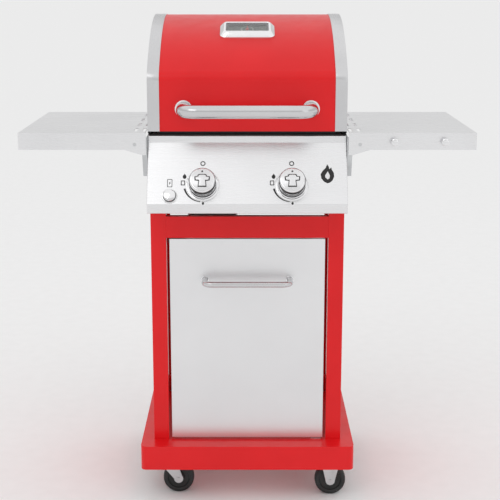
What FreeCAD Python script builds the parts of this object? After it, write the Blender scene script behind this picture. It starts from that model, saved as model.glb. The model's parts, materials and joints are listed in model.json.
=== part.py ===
import FreeCAD, Part
import math
import os
import Sketcher
from types import SimpleNamespace

# Two-burner gas barbecue on a cabinet cart.
# Millimetres. +Z is up, the front faces -Y, and +X is to the right of someone who stands in front.
# The origin is on the ground under the middle of the grill.

Vector = FreeCAD.Vector
Rotation = FreeCAD.Rotation

SIZES = {
    # sheet metal
    "sheet_gauge": 1.2,
    "heavy_gauge": 1.6,
    "tube_wall": 1.5,
    # cart
    "base_half_width": 255.0,
    "base_corner": 14.0,
    "base_front": -190.0,
    "base_back": 264.2,
    "base_bottom": 81.0,
    "base_top": 140.0,
    "cart_half_width": 225.5,
    "cart_front": -140.0,
    "cart_back": 225.0,
    "cart_top": 884.0,
    "post_width": 36.0,
    "post_depth": 22.0,
    "crossbar_bottom": 640.0,
    "crossbar_top": 691.0,
    "tank_hole_radius": 106.0,
    # casters
    "wheel_radius": 37.5,
    "wheel_width": 24.0,
    "axle_radius": 4.0,
    "caster_plate_top": 103.0,
    "fixed_caster_across": 202.0,
    "fixed_caster_front": -139.0,
    "swivel_caster_across": 200.0,
    "swivel_caster_front": -126.0,
    "caster_rear": 199.0,
    "caster_trail": 32.0,
    # door
    "door_half_width": 182.0,
    "door_bottom": 145.0,
    "door_top": 638.0,
    "door_face": -141.0,
    "door_depth": 18.0,
    "door_pivot_across": 166.0,
    "door_pivot_depth": -131.0,
    "door_handle_height": 539.0,
    "door_handle_reach": 44.0,
    "door_handle_half": 100.0,
    "door_tube_radius": 7.0,
    # firebox and what lies in it
    "firebox_half_width": 212.0,
    "firebox_wall_bottom": 765.0,
    "firebox_drain_height": 745.0,
    "drain_across": -81.5,
    "drain_half_width": 34.0,
    "burner_across": 100.0,
    "burner_height": 790.0,
    "burner_radius": 12.5,
    "grate_height": 868.0,
    "grate_wire_radius": 3.0,
    # control panel, whose face leans back
    "panel_half_width": 225.0,
    "panel_bottom": 717.0,
    "panel_lip_top": 739.0,
    "panel_lip_depth": -238.0,
    "panel_face_depth": -243.0,
    "panel_top": 883.0,
    "panel_roll": 15.0,
    "panel_top_depth": -168.5,
    "panel_back": -142.0,
    "knob_across": 100.0,
    "knob_height": 779.0,
    "knob_radius": 30.0,
    "knob_depth": 34.0,
    "knob_stroke": 4.0,
    "knob_bezel_radius": 39.0,
    "igniter_across": -174.0,
    "igniter_height": 756.0,
    "igniter_radius": 13.5,
    "igniter_bezel_radius": 17.5,
    "manifold_depth": -199.0,
    "manifold_height": 738.2,
    "manifold_radius": 8.0,
    # lid: a vertical front and back joined by one large arc
    "lid_half_width": 225.5,
    "lid_band": 27.0,
    "lid_front": -168.0,
    "lid_back": 240.0,
    "lid_bottom": 893.0,
    "lid_back_bottom": 900.0,
    "lid_radius": 440.0,
    "lid_centre_depth": 140.0,
    "lid_centre_height": 704.0,
    "lid_front_bend": 30.0,
    "lid_back_bend": 45.0,
    "lid_pivot_depth": 226.0,
    "lid_pivot_height": 916.0,
    "lid_handle_height": 944.0,
    "lid_handle_depth": -235.0,
    "lid_handle_across": 144.0,
    "lid_tube_radius": 15.0,
    "gauge_tilt": 22.7,
    "gauge_half_width": 63.5,
    "gauge_half_height": 36.0,
    "gauge_rise": 13.0,
    # fold-down side shelves
    "shelf_outer": 516.0,
    "shelf_inner": 230.0,
    "shelf_front": -190.0,
    "shelf_back": 240.0,
    "shelf_top": 892.0,
    "shelf_flange": 38.0,
    "shelf_pivot_across": 254.0,
    "shelf_pivot_height": 866.0,
    "shelf_ear_inner": 228.0,
    "shelf_ear_drop": 12.0,
    "bracket_bottom": 794.0,
    # drip tray
    "tray_left": -135.0,
    "tray_right": -28.0,
    "tray_floor": 668.0,
    "tray_rim": 690.0,
    "tray_front": -112.0,
    "tray_back": 236.0,
}

LEFT = -1
RIGHT = 1

doc = FreeCAD.newDocument("gas_barbecue")
nodes = []


class Size:
    """A length or angle together with the spreadsheet expression that gives it."""

    def __init__(self, value, text):
        self.value = float(value)
        self.text = text

    def __add__(self, other):
        other = as_size(other)
        return Size(self.value + other.value, f"({self.text} + {other.text})")

    def __radd__(self, other):
        return as_size(other) + self

    def __sub__(self, other):
        other = as_size(other)
        return Size(self.value - other.value, f"({self.text} - {other.text})")

    def __rsub__(self, other):
        return as_size(other) - self

    def __mul__(self, other):
        other = as_size(other)
        return Size(self.value * other.value, f"({self.text} * {other.text})")

    def __rmul__(self, other):
        return as_size(other) * self

    def __truediv__(self, other):
        other = as_size(other)
        return Size(self.value / other.value, f"({self.text} / {other.text})")

    def __neg__(self):
        return Size(-self.value, f"(0 - {self.text})")


def as_size(item):
    return item if isinstance(item, Size) else Size(item, f"{item:g}")


def square_root(item):
    return Size(math.sqrt(item.value), f"sqrt({item.text})")


def sine(angle):
    return Size(math.sin(math.radians(angle.value)), f"sin({angle.text} * 1deg)")


def cosine(angle):
    return Size(math.cos(math.radians(angle.value)), f"cos({angle.text} * 1deg)")


def arc_tangent(ratio):
    return Size(math.degrees(math.atan(ratio.value)), f"(atan({ratio.text}) / 1deg)")


def driving_sizes():
    """The spreadsheet, and its cells as Size values."""
    sheet = doc.addObject("Spreadsheet::Sheet", "sizes")
    for row, (alias, value) in enumerate(SIZES.items(), start=1):
        sheet.set(f"A{row}", alias.replace("_", " "))
        sheet.set(f"B{row}", f"{value:g}")
        sheet.setAlias(f"B{row}", alias)
    doc.recompute()
    return SimpleNamespace(**{alias: Size(value, f"sizes.{alias}") for alias, value in SIZES.items()})


s = driving_sizes()


# ---------------------------------------------------------------- helpers

def bind(item, prop, amount):
    item.setExpression(prop, as_size(amount).text)


def bind_base(item, position):
    for axis, amount in zip("xyz", position):
        bind(item, f"Placement.Base.{axis}", amount)


def slab(name, x, y, z):
    """A box from its low and high limits along each axis."""
    item = doc.addObject("Part::Box", name)
    bind_base(item, (x[0], y[0], z[0]))
    for prop, (low, high) in zip(("Length", "Width", "Height"), (x, y, z)):
        bind(item, prop, as_size(high) - low)
    return item


TURNS = {"X": Rotation(Vector(0, 1, 0), 90), "Y": Rotation(Vector(1, 0, 0), -90), "Z": Rotation()}


def rod(name, along, start, length, radius):
    """A cylinder from its start point along +X, +Y or +Z."""
    item = doc.addObject("Part::Cylinder", name)
    item.Placement = FreeCAD.Placement(Vector(), TURNS[along])
    bind_base(item, start)
    bind(item, "Height", length)
    bind(item, "Radius", radius)
    return item


def fuse(name, *items):
    item = doc.addObject("Part::MultiFuse", name)
    item.Shapes = list(items)
    return item


def cut(name, base, *tools):
    item = doc.addObject("Part::Cut", name)
    item.Base = base
    item.Tool = tools[0] if len(tools) == 1 else fuse(f"{name}_cutters", *tools)
    return item


def group(name, *items):
    """Several separate solids that make one node."""
    item = doc.addObject("Part::Compound", name)
    item.Links = list(items)
    return item


def node(name, item):
    """Registers a finished sub-part under its own label."""
    item.Label = name
    nodes.append(item)
    return item


def tilted(item, position, angle):
    """Sets a finished piece at a position, turned about X. A bare primitive keeps its own offset."""
    if item.TypeId in ("Part::Box", "Part::Cylinder"):
        item = group(f"{item.Name}_placed", item)
    item.Placement = FreeCAD.Placement(Vector(), Rotation(Vector(1, 0, 0), 45))
    bind_base(item, position)
    bind(item, "Placement.Rotation.Angle", angle)
    return item


def mirrored(low, high, side):
    """An X range written for the right side, on the side that is asked for."""
    return (low, high) if side == RIGHT else (-as_size(high), -as_size(low))


PLANE_ROLES = {"XY": "XY_Plane", "XZ": "XZ_Plane", "YZ": "YZ_Plane"}


def origin_plane(body, plane):
    return next(item for item in body.Origin.OriginFeatures if item.Role == PLANE_ROLES[plane])


def arc_middle(start, end, radius):
    """A point half way along a short arc: radius > 0 turns left on the way, radius < 0 turns right."""
    chord = end - start
    half = chord.Length / 2
    rise = abs(radius) - math.sqrt(radius * radius - half * half)
    outward = Vector(chord.y, -chord.x, 0).normalize() * math.copysign(rise, radius)
    return (start + end) / 2 + outward


def outline(body, name, plane, height, points):
    """A closed sketch. Each point is (across, up) or (across, up, radius of the arc to the next point)."""
    sketch = body.newObject("Sketcher::SketchObject", name)
    sketch.AttachmentSupport = [(origin_plane(body, plane), "")]
    sketch.MapMode = "FlatFace"
    bind(sketch, "AttachmentOffset.Base.z", height)
    places = [Vector(as_size(point[0]).value, as_size(point[1]).value, 0) for point in points]
    count = len(points)
    heads = []
    for index, point in enumerate(points):
        start = places[index]
        end = places[(index + 1) % count]
        if len(point) == 2:
            sketch.addGeometry(Part.LineSegment(start, end), False)
            heads.append((1, 2))
        else:
            radius = as_size(point[2]).value
            sketch.addGeometry(Part.Arc(start, arc_middle(start, end, radius), end), False)
            heads.append((1, 2) if radius > 0 else (2, 1))
    for index in range(count):
        after = (index + 1) % count
        sketch.addConstraint(Sketcher.Constraint("Coincident", index, heads[index][1], after,
                                                 heads[after][0]))
    for index, point in enumerate(points):
        for kind, amount in (("DistanceX", point[0]), ("DistanceY", point[1])):
            amount = as_size(amount)
            row = sketch.addConstraint(Sketcher.Constraint(kind, -1, 1, index, heads[index][0],
                                                           amount.value))
            sketch.setExpression(f"Constraints[{row}]", amount.text)
        if len(point) == 3:
            radius = as_size(point[2])
            sign = 1 if radius.value > 0 else -1
            row = sketch.addConstraint(Sketcher.Constraint("Radius", index, abs(radius.value)))
            sketch.setExpression(f"Constraints[{row}]", (radius * sign).text)
    return sketch


def extrusion(name, plane, low, high, points, body=None):
    """A padded outline between two positions along the third axis."""
    body = body or doc.addObject("PartDesign::Body", name)
    height = -as_size(high) if plane == "XZ" else low
    sketch = outline(body, f"{name}_outline", plane, height, points)
    pad = body.newObject("PartDesign::Pad", f"{name}_pad")
    pad.Profile = sketch
    bind(pad, "Length", as_size(high) - low)
    body.Tip = pad
    return body


def revolution(name, points):
    """A turned piece about the local Z axis, from points (radius, height)."""
    body = doc.addObject("PartDesign::Body", name)
    sketch = outline(body, f"{name}_outline", "XZ", 0, points)
    turn = body.newObject("PartDesign::Revolution", f"{name}_turn")
    turn.Profile = sketch
    turn.ReferenceAxis = (sketch, ["V_Axis"])
    turn.Angle = 360
    body.Tip = turn
    return body


def round_edges(body, name, radius, chosen):
    """Fillets the edges of the body's tip for which chosen(edge) is true."""
    doc.recompute()
    base = body.Tip
    names = [f"Edge{place}" for place, edge in enumerate(base.Shape.Edges, start=1) if chosen(edge)]
    if not names:
        raise RuntimeError(f"{name}: no edge to round")
    fillet = body.newObject("PartDesign::Fillet", name)
    fillet.Base = (base, names)
    bind(fillet, "Radius", radius)
    body.Tip = fillet
    doc.recompute()
    return body


def runs_along(edge, axis):
    """True for a straight edge along one axis."""
    if edge.Curve.TypeId != "Part::GeomLine":
        return False
    return abs(abs(edge.tangentAt(edge.FirstParameter).dot(axis)) - 1) < 1e-6


def is_upright(edge):
    return runs_along(edge, Vector(0, 0, 1))


def bent_tube(name, points, radius, plane_height):
    """A round tube along a path of straight runs and quarter bends that lies level at plane_height."""
    body = doc.addObject("PartDesign::Body", name)
    path = body.newObject("Sketcher::SketchObject", f"{name}_path")
    path.AttachmentSupport = [(origin_plane(body, "XY"), "")]
    path.MapMode = "FlatFace"
    bind(path, "AttachmentOffset.Base.z", plane_height)
    places = [Vector(as_size(point[0]).value, as_size(point[1]).value, 0) for point in points]
    for index in range(len(points) - 1):
        start, end = places[index], places[index + 1]
        if len(points[index]) == 2:
            path.addGeometry(Part.LineSegment(start, end), False)
        else:
            bend = as_size(points[index][2]).value
            path.addGeometry(Part.Arc(start, arc_middle(start, end, bend), end), False)
    profile = body.newObject("Sketcher::SketchObject", f"{name}_profile")
    profile.AttachmentSupport = [(origin_plane(body, "XZ"), "")]
    profile.MapMode = "FlatFace"
    bind(profile, "AttachmentOffset.Base.z", -as_size(points[0][1]))
    centre = Vector(places[0].x, as_size(plane_height).value, 0)
    for index, size in enumerate((as_size(radius), radius - s.tube_wall)):
        profile.addGeometry(Part.Circle(centre, Vector(0, 0, 1), size.value), False)
        row = profile.addConstraint(Sketcher.Constraint("Radius", index, size.value))
        bind(profile, f"Constraints[{row}]", size)
        for kind, amount in (("DistanceX", points[0][0]), ("DistanceY", plane_height)):
            row = profile.addConstraint(Sketcher.Constraint(kind, -1, 1, index, 3, as_size(amount).value))
            bind(profile, f"Constraints[{row}]", amount)
    pipe = body.newObject("PartDesign::AdditivePipe", f"{name}_pipe")
    pipe.Profile = profile
    pipe.Spine = path
    body.Tip = pipe
    return body


# ---------------------------------------------------------------- cart

def rectangle(left, right, low, high):
    return [(left, low), (right, low), (right, high), (left, high)]


def base_pan():
    """Folded steel tray, open underneath, with the hole that holds the gas bottle's foot ring."""
    gauge = s.heavy_gauge
    outer = extrusion("base_block", "XY", s.base_bottom, s.base_top, rectangle(
        -s.base_half_width, s.base_half_width, s.base_front, s.base_back))
    round_edges(outer, "base_corners", s.base_corner, is_upright)
    inner = extrusion("base_hollow", "XY", s.base_bottom - 1, s.base_top - gauge, rectangle(
        gauge - s.base_half_width, s.base_half_width - gauge, s.base_front + gauge, s.base_back - gauge))
    round_edges(inner, "base_hollow_corners", s.base_corner - gauge, is_upright)
    hole = rod("base_tank_hole", "Z", (0, s.base_front / 2 + s.base_back / 2, s.base_bottom), 90,
               s.tank_hole_radius)
    node("base_pan", cut("base_pan", outer, inner, hole))


def caster_rails():
    """Two channels under the pan that the casters bolt to."""
    rails = []
    for side, label in ((LEFT, "left"), (RIGHT, "right")):
        x = mirrored(168, 234, side)
        y = (s.base_front + 8, s.base_back - 8)
        z = (s.caster_plate_top, s.base_top - s.heavy_gauge)
        hollow = slab(f"{label}_rail_hollow", (as_size(x[0]) + 2.5, as_size(x[1]) - 2.5),
                      (y[0] - 1, y[1] + 1), (z[0] + 2.5, z[1] + 1))
        rails.append(cut(f"{label}_rail", slab(f"{label}_rail_block", x, y, z), hollow))
    node("caster_rails", group("caster_rails", *rails))


def fork_outline(across, trail, crown):
    """Tapered fork cheek with a round end about the axle."""
    end = as_size(11)
    return [(across - 24, crown), (across + trail - end, s.wheel_radius),
            (across + trail + end, s.wheel_radius),
            (across + 24, crown)]


def fork(name, across, depth, trail):
    """Two cheeks, a crown and the riveted axle."""
    crown = as_size(92)
    half = s.wheel_width / 2 + 3
    cheeks = []
    for label, low in (("front", -half - 2.5), ("rear", half)):
        cheek = extrusion(f"{name}_{label}", "XZ", depth + low, depth + low + 2.5,
                          fork_outline(across, trail, crown))
        tip = rod(f"{name}_{label}_tip", "Y", (across + trail, depth + low, s.wheel_radius), 2.5, 11)
        cheeks += [cheek, tip]
    top = slab(f"{name}_crown", (across - 24, across + 24), (depth - half - 2.5, depth + half + 2.5),
               (crown - 2.5, crown))
    axle = rod(f"{name}_axle", "Y", (across + trail, depth - half - 5, s.wheel_radius), (half + 5) * 2,
               s.axle_radius)
    return fuse(name, *cheeks, top, axle)


def casters():
    """Swivel casters on the left and fixed casters on the right."""
    plates = []
    fixed = []
    for end, swivel_depth, fixed_depth in (("front", s.swivel_caster_front, s.fixed_caster_front),
                                           ("rear", s.caster_rear, s.caster_rear)):
        plate = slab(f"{end}_plate", (-s.swivel_caster_across - 28, -s.swivel_caster_across + 28),
                     (swivel_depth - 28, swivel_depth + 28), (s.caster_plate_top - 3, s.caster_plate_top))
        race = rod(f"{end}_race", "Z", (-s.swivel_caster_across, swivel_depth, 92.3), 8, 20)
        plates.append(fuse(f"{end}_swivel_plate", plate, race))
        node(f"{end}_left_caster_fork",
             fork(f"{end}_left_caster_fork", -s.swivel_caster_across, swivel_depth,
                                             s.caster_trail))
        node(f"{end}_left_wheel",
             wheel(f"{end}_left_wheel", s.caster_trail - s.swivel_caster_across, swivel_depth))
        right_plate = slab(f"{end}_fixed_plate", (s.fixed_caster_across - 28, s.fixed_caster_across + 28),
                           (fixed_depth - 28, fixed_depth + 28), (as_size(92), s.caster_plate_top))
        right_fork = fork(f"{end}_fixed_fork", s.fixed_caster_across, fixed_depth, as_size(0))
        fixed.append(fuse(f"{end}_fixed_caster", right_plate, right_fork))
        node(f"{end}_right_wheel", wheel(f"{end}_right_wheel", s.fixed_caster_across, fixed_depth))
    node("swivel_caster_plates", group("swivel_caster_plates", *plates))
    node("fixed_caster_forks", group("fixed_caster_forks", *fixed))


def wheel(name, across, depth):
    """A solid wheel with a crowned tread, turned about its axle."""
    half = s.wheel_width / 2
    bore = s.axle_radius + 0.08
    body = revolution(name, [(bore, -half - 2), (14, -half - 2), (16, -half + 2), (27, -half + 2),
                             (30, -half),
                             (s.wheel_radius - 3, -half), (s.wheel_radius, -half + 4),
                             (s.wheel_radius, half - 4),
                             (s.wheel_radius - 3, half), (30, half), (27, half - 2), (16, half - 2),
                             (14, half + 2), (bore, half + 2)])
    return tilted(body, (across, depth, s.wheel_radius), 90)


def side_panels():
    """Folded side walls with the front posts, notched for the firebox, and the rear returns."""
    gauge = s.sheet_gauge
    for side, label in ((LEFT, "left"), (RIGHT, "right")):
        outer, inner = s.cart_half_width, s.cart_half_width - s.post_width
        points = [(outer * side, s.cart_front), (outer * side, s.cart_back),
                  ((outer - 22) * side, s.cart_back),
                  ((outer - 22) * side, s.cart_back - gauge), ((outer - gauge) * side, s.cart_back - gauge),
                  ((outer - gauge) * side, s.cart_front + gauge),
                  ((inner + gauge) * side, s.cart_front + gauge),
                  ((inner + gauge) * side, s.cart_front + s.post_depth),
                  (inner * side, s.cart_front + s.post_depth),
                  (inner * side, s.cart_front)]
        folded = extrusion(f"{label}_side_panel_folds", "XY", s.base_top, s.cart_top, points)
        notch = slab(f"{label}_side_panel_notch", mirrored(inner - 1, outer - gauge, side),
                     (s.cart_front - 1, s.cart_front + s.post_depth + 1),
                     (s.firebox_drain_height - 5, s.cart_top + 1))
        node(f"{label}_side_panel", cut(f"{label}_side_panel", folded, notch))


def channel(name, x, y, z):
    """A cross channel that opens to the back."""
    gauge = s.sheet_gauge
    hollow = slab(f"{name}_hollow", (as_size(x[0]) - 1, as_size(x[1]) + 1),
                  (as_size(y[0]) + gauge, as_size(y[1]) + 1),
                  (as_size(z[0]) + gauge, as_size(z[1]) - gauge))
    return cut(name, slab(f"{name}_block", x, y, z), hollow)


def cross_members():
    inner = s.cart_half_width - s.post_width
    node("front_crossbar", channel("front_crossbar", (-inner, inner), (s.cart_front, s.cart_front + 20),
                                   (s.crossbar_bottom, s.crossbar_top)))
    wall = s.cart_half_width - s.sheet_gauge
    braces = [channel(f"{label}_brace", (-wall, wall), (s.cart_back - 21, s.cart_back - s.sheet_gauge), span)
              for label, span in (("upper", (700, 735)), ("lower", (s.base_top, s.base_top + 40)))]
    node("rear_braces", group("rear_braces", *braces))


# ---------------------------------------------------------------- door

def door():
    """Steel skin with folded edges over a flat liner, hung on two pins at its right side."""
    gauge = s.sheet_gauge
    half, low, high = s.door_half_width, s.door_bottom, s.door_top
    back = s.door_face + s.door_depth
    skin = slab("door_block", (-half, half), (s.door_face, back), (low, high))
    hollow = slab("door_hollow", (gauge - half, half - gauge), (s.door_face + gauge, back + 1),
                  (low + gauge, high - gauge))
    bores = rod("door_pin_bores", "Z", (s.door_pivot_across, s.door_pivot_depth, low - 1), high - low + 2,
                3.06)
    node("door_skin", cut("door_skin", skin, hollow, bores))
    liner = slab("door_liner_plate", (gauge - half, half - gauge), (back - gauge, back),
                 (low + gauge, high - gauge))
    node("door_liner", liner)
    radius = s.door_tube_radius
    across, bend = s.door_handle_half, as_size(18)
    reach = s.door_face - s.door_handle_reach
    points = [(-across, s.door_face), (-across, reach + bend, bend), (bend - across, reach),
              (across - bend, reach, bend), (across, reach + bend), (across, s.door_face)]
    node("door_handle", bent_tube("door_handle", points, radius, s.door_handle_height))
    rings = [cut(f"door_ring_{label}",
                 rod(f"door_ring_{label}_outer", "Y",
                     (across * side, s.door_face - 2.5, s.door_handle_height), 2.5, radius + 3),
                 rod(f"door_ring_{label}_bore", "Y",
                     (across * side, s.door_face - 3, s.door_handle_height), 4, radius))
             for side, label in ((LEFT, "left"), (RIGHT, "right"))]
    node("door_handle_ferrules", group("door_handle_ferrules", *rings))


def door_hinges():
    """Pins that stand on the base and hang from the crossbar, each on a small foot."""
    x, y = s.door_pivot_across, s.door_pivot_depth
    lower = [slab("lower_foot", (x - 12, x + 12), (y - 8, y + 8), (s.base_top, s.base_top + 3)),
             rod("lower_pin", "Z", (x, y, s.base_top), 17, 3)]
    upper = [slab("upper_arm", (x - 12, x + 12), (y - 6, y + 12), (s.door_top + 0.5, s.crossbar_bottom)),
             rod("upper_pin", "Z", (x, y, s.door_top - 12), 13, 3)]
    node("door_hinge_pins", group("door_hinge_pins", fuse("lower_hinge", *lower),
                                  fuse("upper_hinge", *upper)))


def door_catch():
    """Magnet block under the crossbar at the left."""
    inner = s.cart_half_width - s.post_width
    node("door_magnet_catch", slab("door_magnet_catch", (4 - inner, 44 - inner),
                                   (s.door_face + s.door_depth + 0.5, s.cart_front + 36),
                                   (s.crossbar_bottom - 16, s.crossbar_bottom)))


# ---------------------------------------------------------------- firebox

def firebox():
    """Steel box with a sloped floor that drains at the left of the middle, open at the top."""
    gauge = s.sheet_gauge
    half, rim = s.firebox_half_width, s.cart_half_width
    front, back = s.cart_front + 2, s.cart_back - 22
    low, drain, top = s.firebox_wall_bottom, s.firebox_drain_height, s.cart_top + gauge
    left, right = s.drain_across - s.drain_half_width, s.drain_across + s.drain_half_width

    def section(inset, height):
        return [(inset - half, height), (inset - half, low + inset), (left, drain + inset),
                (right, drain + inset),
                (half - inset, low + inset), (half - inset, height)]

    outer = extrusion("firebox_outer", "XZ", front, back, section(as_size(0), top))
    inner = extrusion("firebox_inner", "XZ", front + gauge, back - gauge, section(gauge, top + 5))
    drain_hole = slab("firebox_drain", (left + 4, right - 4), (0, 90), (drain - 5, drain + 5))
    holes = [rod(f"burner_hole_{side}", "Y", (s.burner_across * side, front - 1, s.burner_height), 4,
                 s.burner_radius + 0.5) for side in (LEFT, RIGHT)]
    box = cut("firebox_box", outer, inner, drain_hole, *holes)
    rims = [slab("firebox_left_rim", (-rim, 0.6 - half), (front, back), (s.cart_top, top)),
            slab("firebox_right_rim", (half - 0.6, rim), (front, back), (s.cart_top, top)),
            slab("firebox_front_rim", (-rim, rim), (s.lid_front + 6, front + 0.6), (s.cart_top, top)),
            slab("firebox_front_lip", (8 - half, half - 8), (front - 8, front - 8 + gauge),
                 (s.cart_top + 0.6, s.lid_bottom - 1.5))]
    ledges = [slab(f"grate_ledge_{label}", (0.6 - half, half - 0.6), span,
                   (s.grate_height - 8, s.grate_height - 4))
              for label, span in (("front", (front + 0.6, front + 10)), ("back", (back - 10, back - 0.6)))]
    node("firebox", fuse("firebox", box, *rims, *ledges))


def burners():
    """Two tube burners, closed at the back."""
    tubes = []
    for side, label in ((LEFT, "left"), (RIGHT, "right")):
        start = (s.burner_across * side, s.cart_front - 6, s.burner_height)
        tube = rod(f"{label}_burner_tube", "Y", start, 320, s.burner_radius)
        bore = rod(f"{label}_burner_bore", "Y", (start[0], start[1] - 1, start[2]), 318, s.burner_radius - 1)
        tubes.append(cut(f"{label}_burner", tube, bore))
    node("burners", group("burners", *tubes))


def flame_tamers():
    """Folded tents over the burners, resting on the front and back ledges' height."""
    tents = []
    for side, label in ((LEFT, "left"), (RIGHT, "right")):
        middle = s.burner_across * side
        low, high = as_size(818), as_size(848)
        points = [(middle - 58, low), (middle, high), (middle + 58, low), (middle + 58, low + 1.6),
                  (middle, high + 1.6), (middle - 58, low + 1.6)]
        tents.append(extrusion(f"{label}_tent", "XZ", s.cart_front + 4, s.cart_back - 24, points))
    node("flame_tamers", group("flame_tamers", *tents))


def electrodes():
    """Spark electrodes held beside the burners at the front."""
    rods = [fuse(f"electrode_{side}",
                 rod(f"electrode_{side}_ceramic", "Y", (s.burner_across * side + 26, s.cart_front + 3.2,
                                                        s.burner_height + 6), 30, 3.5),
                 rod(f"electrode_{side}_tip", "Y",
                     (s.burner_across * side + 26, s.cart_front + 33, s.burner_height + 6),
                     14, 1.2)) for side in (LEFT, RIGHT)]
    node("igniter_electrodes", group("igniter_electrodes", *rods))


def grates():
    """Two wire cooking grates side by side."""
    pair = []
    wire = s.grate_wire_radius
    front, length = s.cart_front + 4, s.cart_back - s.cart_front - 28
    for side, label in ((LEFT, "left"), (RIGHT, "right")):
        wires = [rod(f"{label}_wire_{place}", "Y",
                     (s.firebox_half_width * side * (0.035 + 0.0765 * place), front,
                                                    s.grate_height), length, wire) for place in range(13)]
        ends = mirrored(s.firebox_half_width * 0.035, s.firebox_half_width * 0.953, side)
        ties = [rod(f"{label}_tie_{place}", "X",
                    (ends[0], front + 8 + (length - 16) * place / 2, s.grate_height - 1),
                    as_size(ends[1]) - ends[0], wire) for place in range(3)]
        pair.append(fuse(f"{label}_grate", *wires, *ties))
    node("cooking_grates", group("cooking_grates", *pair))


# ---------------------------------------------------------------- gas and controls

def panel_slope():
    """How far the panel's face runs back for each unit of its height."""
    return (s.panel_top_depth - s.panel_face_depth) / (s.panel_top - s.panel_roll - s.panel_lip_top)


def panel_lean():
    return arc_tangent(panel_slope())


def on_panel(across, height):
    """The point of the panel's face at a height."""
    return (across, s.panel_face_depth + (height - s.panel_lip_top) * panel_slope(), height)


def on_axis(item, across, height):
    """Sets a piece made along local +Z on the panel, pointing out of its face."""
    return tilted(item, on_panel(across, height), 90 - panel_lean())


def control_panel():
    """Formed steel front with a lip, a face that leans back, a steep top band and closed ends."""
    gauge = s.sheet_gauge

    def profile(inset):
        return [(s.panel_back + inset * 3, s.panel_bottom + inset),
                (s.panel_lip_depth + inset, s.panel_bottom + inset),
                (s.panel_face_depth + inset, s.panel_lip_top),
                (s.panel_top_depth + inset, s.panel_top - s.panel_roll),
                (s.panel_top_depth + s.panel_roll * 0.2 + inset, s.panel_top - inset),
                (s.panel_back + inset * 3, s.panel_top - inset)]

    shell = extrusion("panel_block", "YZ", -s.panel_half_width, s.panel_half_width, profile(as_size(0)))
    inner = extrusion("panel_hollow", "YZ", gauge - s.panel_half_width, s.panel_half_width - gauge,
                      profile(gauge))
    holes = []
    for label, across, height, radius in (("left", -s.knob_across, s.knob_height, 9),
                                          ("right", s.knob_across, s.knob_height, 9),
                                          ("igniter", s.igniter_across, s.igniter_height, 15.3)):
        drill = group(f"{label}_panel_drill", rod(f"{label}_panel_hole", "Z", (0, 0, -8), 16, radius))
        holes.append(on_axis(drill, across, height))
    node("control_panel", cut("control_panel", shell, inner, *holes))


def valves():
    """Valve bodies on the manifold, turning stems, knobs and printed bezels."""
    bodies = []
    bezels = []
    for side, label in ((LEFT, "left"), (RIGHT, "right")):
        across = s.knob_across * side
        block = slab(f"{label}_valve_block", (-13, 13), (-15, 13), (-40, -8))
        saddle = rod(f"{label}_valve_saddle", "Y", (0, -16.5, -38.5), 12, 7)
        riser = slab(f"{label}_valve_riser", (-7, 7), (12, 38), (-40, -26))
        bore = rod(f"{label}_valve_bore", "Z", (0, 0, -30), 23, 5.06)
        body = cut(f"{label}_valve", fuse(f"{label}_valve_body", block, saddle, riser), bore)
        outlet_start = on_panel(across, s.knob_height)[1] + 44
        outlet = rod(f"{label}_valve_outlet", "Y", (across, outlet_start, s.burner_height), 26, 4)
        bodies.append(fuse(f"{label}_valve_casting", on_axis(body, across, s.knob_height), outlet))
        stem = fuse(f"{label}_stem_parts", rod(f"{label}_plug", "Z", (0, 0, -29.5), 21.5, 5),
                    rod(f"{label}_shaft", "Z", (0, 0, -8), 24, 3.5))
        node(f"{label}_valve_stem", on_axis(stem, across, s.knob_height))
        node(f"{label}_knob", on_axis(knob(label), across, s.knob_height))
        ring = cut(f"{label}_bezel", rod(f"{label}_bezel_disc", "Z", (0, 0, 0), 1.5, s.knob_bezel_radius),
                   rod(f"{label}_bezel_bore", "Z", (0, 0, -1), 5, 9))
        bezels.append(on_axis(ring, across, s.knob_height))
    igniter_ring = cut("igniter_ring", rod("igniter_ring_disc", "Z", (0, 0, 0), 2.5, s.igniter_bezel_radius),
                       rod("igniter_ring_bore", "Z", (0, 0, -1), 5, s.igniter_radius + 0.6))
    bezels.append(on_axis(igniter_ring, s.igniter_across, s.igniter_height))
    node("valve_bodies", group("valve_bodies", *bodies))
    node("control_bezels", group("control_bezels", *bezels))


def knob(label):
    """A round cap with a raised grip bar, bored for the stem."""
    low = as_size(1.5) + s.knob_stroke + 0.8
    high = low + s.knob_depth
    cap = revolution(f"{label}_knob_cap", [(0, low), (s.knob_radius, low), (s.knob_radius, high - 9),
                                           (s.knob_radius - 3, high - 6), (0, high - 6)])
    grip = slab(f"{label}_knob_grip", (-6, 6), (6 - s.knob_radius, s.knob_radius - 4), (high - 8, high - 3))
    bore = rod(f"{label}_knob_bore", "Z", (0, 0, low - 1), as_size(16.2) - low + s.knob_stroke + 1, 3.56)
    return cut(f"{label}_knob_piece", fuse(f"{label}_knob_body", cap, grip), bore)


def igniter():
    """Push button in a sleeve, with the spark module behind the panel."""
    low, stroke = as_size(-4), 4.0
    button = rod("igniter_cap", "Z", (0, 0, low + 5.5), 8, s.igniter_radius)
    stem = rod("igniter_stem", "Z", (0, 0, low - 4), 10, 6)
    node("igniter_button", on_axis(fuse("igniter_parts", button, stem), s.igniter_across, s.igniter_height))
    body = rod("igniter_body", "Z", (0, 0, -40), 36.8, 15)
    well = rod("igniter_well", "Z", (0, 0, low - 4 - stroke - 1), 30, 6.3)
    node("igniter_module", on_axis(cut("igniter_module_body", body, well), s.igniter_across,
                                   s.igniter_height))


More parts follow.
